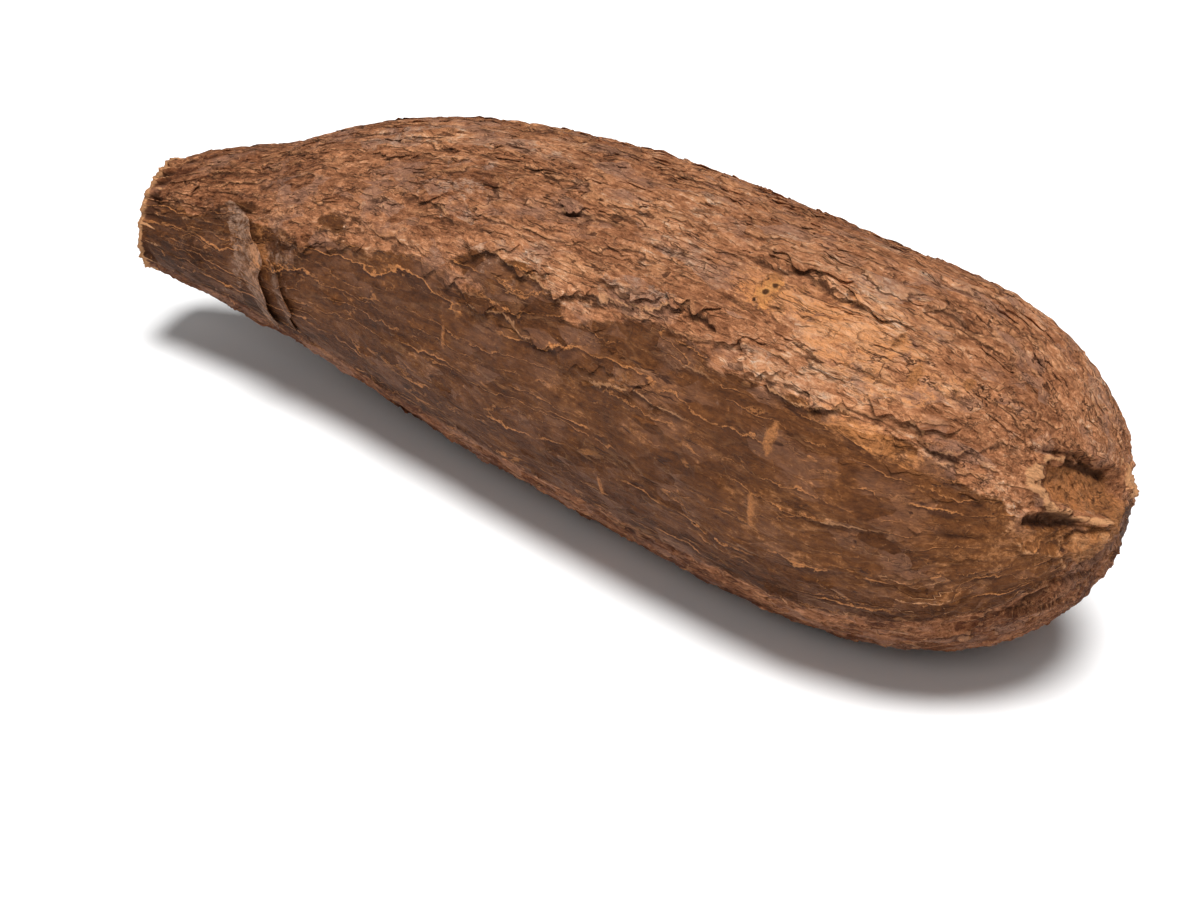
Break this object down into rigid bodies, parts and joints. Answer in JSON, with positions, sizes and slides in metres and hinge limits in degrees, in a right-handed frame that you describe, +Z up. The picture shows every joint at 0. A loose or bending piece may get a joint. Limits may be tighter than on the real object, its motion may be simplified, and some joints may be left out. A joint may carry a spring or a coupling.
{
  "type": "cassava root",
  "caption": "Whole cassava root lying on its belly: rough brown peel, knife-cut neck, blunt scarred tail.",
  "frame": {"origin": "centre of the bounding box in plan, on the plane the root rests on", "axes": "+X along the root from the cut neck to the tail, +Z up, the lying root bows towards +Y near its neck"},
  "size_m": [0.2842, 0.093, 0.0789],
  "materials": {
    "peel": "rough, flaking brown bark-like peel, matte"
  },
  "bodies": {
    "root": {"cassava_root": "peel"}
  },
  "joints": []
}
